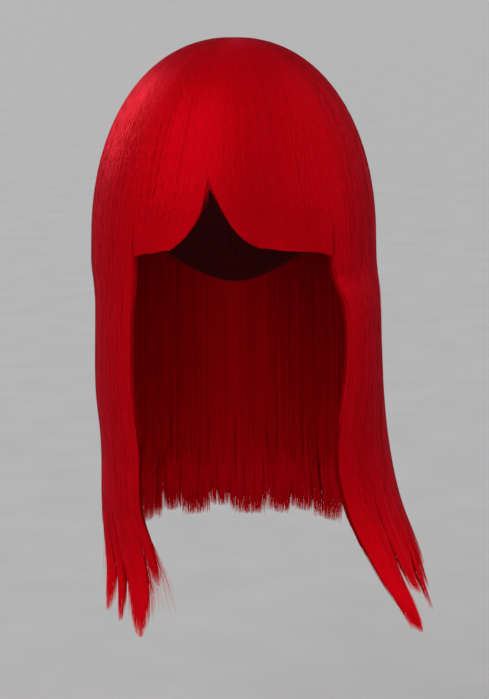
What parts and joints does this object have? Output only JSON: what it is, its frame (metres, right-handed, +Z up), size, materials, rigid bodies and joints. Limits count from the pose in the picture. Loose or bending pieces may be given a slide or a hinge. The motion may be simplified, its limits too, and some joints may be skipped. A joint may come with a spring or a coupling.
{
  "type": "bob wig with bangs",
  "caption": "Straight shoulder-length bob wig with a parted fringe: a thin hollow cap under panels of hair that flow from a whorl on the crown and end in ragged locks, worn over the head.",
  "frame": {"origin": "point inside the cap, at its top, where the crown of the head bears", "axes": "+Z up, the face looks along -Y, and +X is to the right of a viewer in front of the wig"},
  "size_m": [0.2214, 0.2042, 0.3819],
  "materials": {
    "hair": "straight glossy red synthetic fibre",
    "cap": "matt dark red knitted net"
  },
  "bodies": {
    "root": {"cap": "cap", "bangs_left": "hair", "bangs_right": "hair", "side_lock_left": "hair", "side_lock_right": "hair", "back_hair": "hair"}
  },
  "joints": []
}
